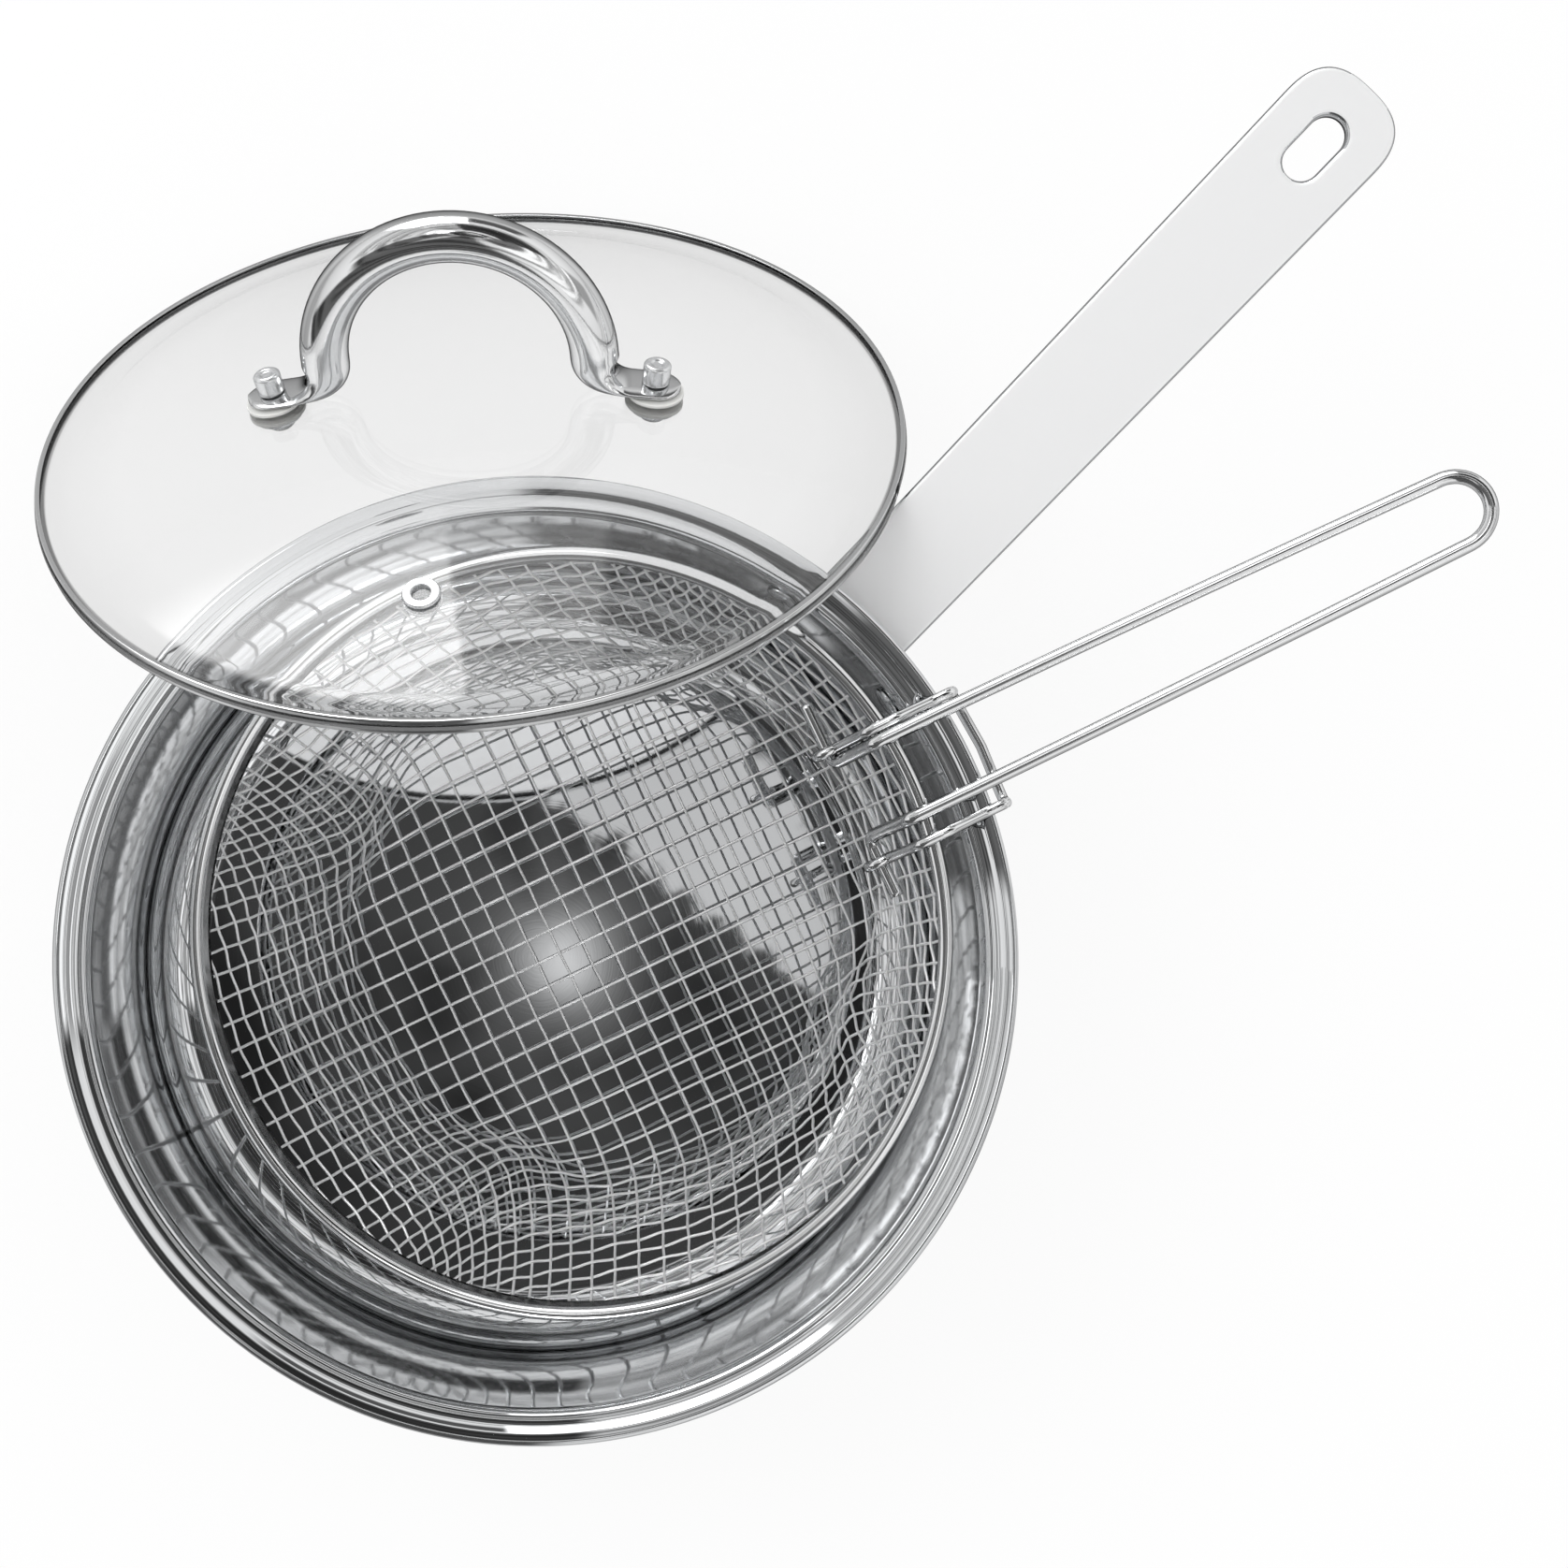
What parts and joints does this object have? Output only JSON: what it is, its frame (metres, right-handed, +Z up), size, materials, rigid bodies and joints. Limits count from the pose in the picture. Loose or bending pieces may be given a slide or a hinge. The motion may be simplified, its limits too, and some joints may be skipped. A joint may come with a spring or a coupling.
{
  "type": "deep fry pot with basket",
  "caption": "Polished steel fry pan with strap handle, a round wire basket with fold-in handle hung from its rim, and a domed glass lid leaning on the rim.",
  "frame": {"origin": "centre of the pan's flat underside on the table", "axes": "+Z up along the pan's axis, +X along the pan's strap handle, +Y to the left of that handle"},
  "size_m": [0.4312, 0.3366, 0.1693],
  "materials": {
    "polished_steel": "polished",
    "satin_steel": "satin",
    "wire_steel": "bright drawn wire",
    "core_aluminium": "matt",
    "lid_glass": "clear",
    "seal_rubber": "matt, translucent"
  },
  "bodies": {
    "pot": {"pot_body": "polished_steel", "base_cap": "satin_steel", "base_core": "core_aluminium", "pan_handle": "polished_steel", "handle_bracket": "satin_steel", "handle_rivet_left": "polished_steel", "handle_rivet_right": "polished_steel"},
    "lid": {"lid_glass": "lid_glass", "lid_rim_band": "polished_steel", "lid_handle": "polished_steel", "lid_cap_nut_left": "polished_steel", "lid_cap_nut_right": "polished_steel", "lid_outer_gasket_left": "seal_rubber", "lid_outer_gasket_right": "seal_rubber", "lid_inner_gasket_left": "seal_rubber", "lid_inner_gasket_right": "seal_rubber", "lid_washer_left": "satin_steel", "lid_washer_right": "satin_steel", "lid_screw_left": "satin_steel", "lid_screw_right": "satin_steel", "vent_eyelet": "polished_steel", "vent_ring": "satin_steel"},
    "basket": {"basket_mesh": "wire_steel", "basket_rim_band": "polished_steel", "basket_hanger": "wire_steel"},
    "basket_handle": {"basket_handle": "wire_steel"}
  },
  "joints": [
    {"name": "lid_lift", "type": "slide", "parent": "pot", "child": "lid", "axis": [0.4531, 0.538, 0.7108], "range_m": [0, 0.25]},
    {"name": "basket_lift", "type": "slide", "parent": "pot", "child": "basket", "axis": [0, 0, 1], "range_m": [0, 0.15]},
    {"name": "basket_handle_fold", "type": "hinge", "parent": "basket", "child": "basket_handle", "pos_m": [0.088, -0.03019, 0.10902], "axis": [-0.3518, -0.9361, 0], "range_deg": [0, 170]}
  ],
  "couplings": [
    {"joint": "basket_lift", "follows": "lid_lift", "ratio": 0.6}
  ]
}
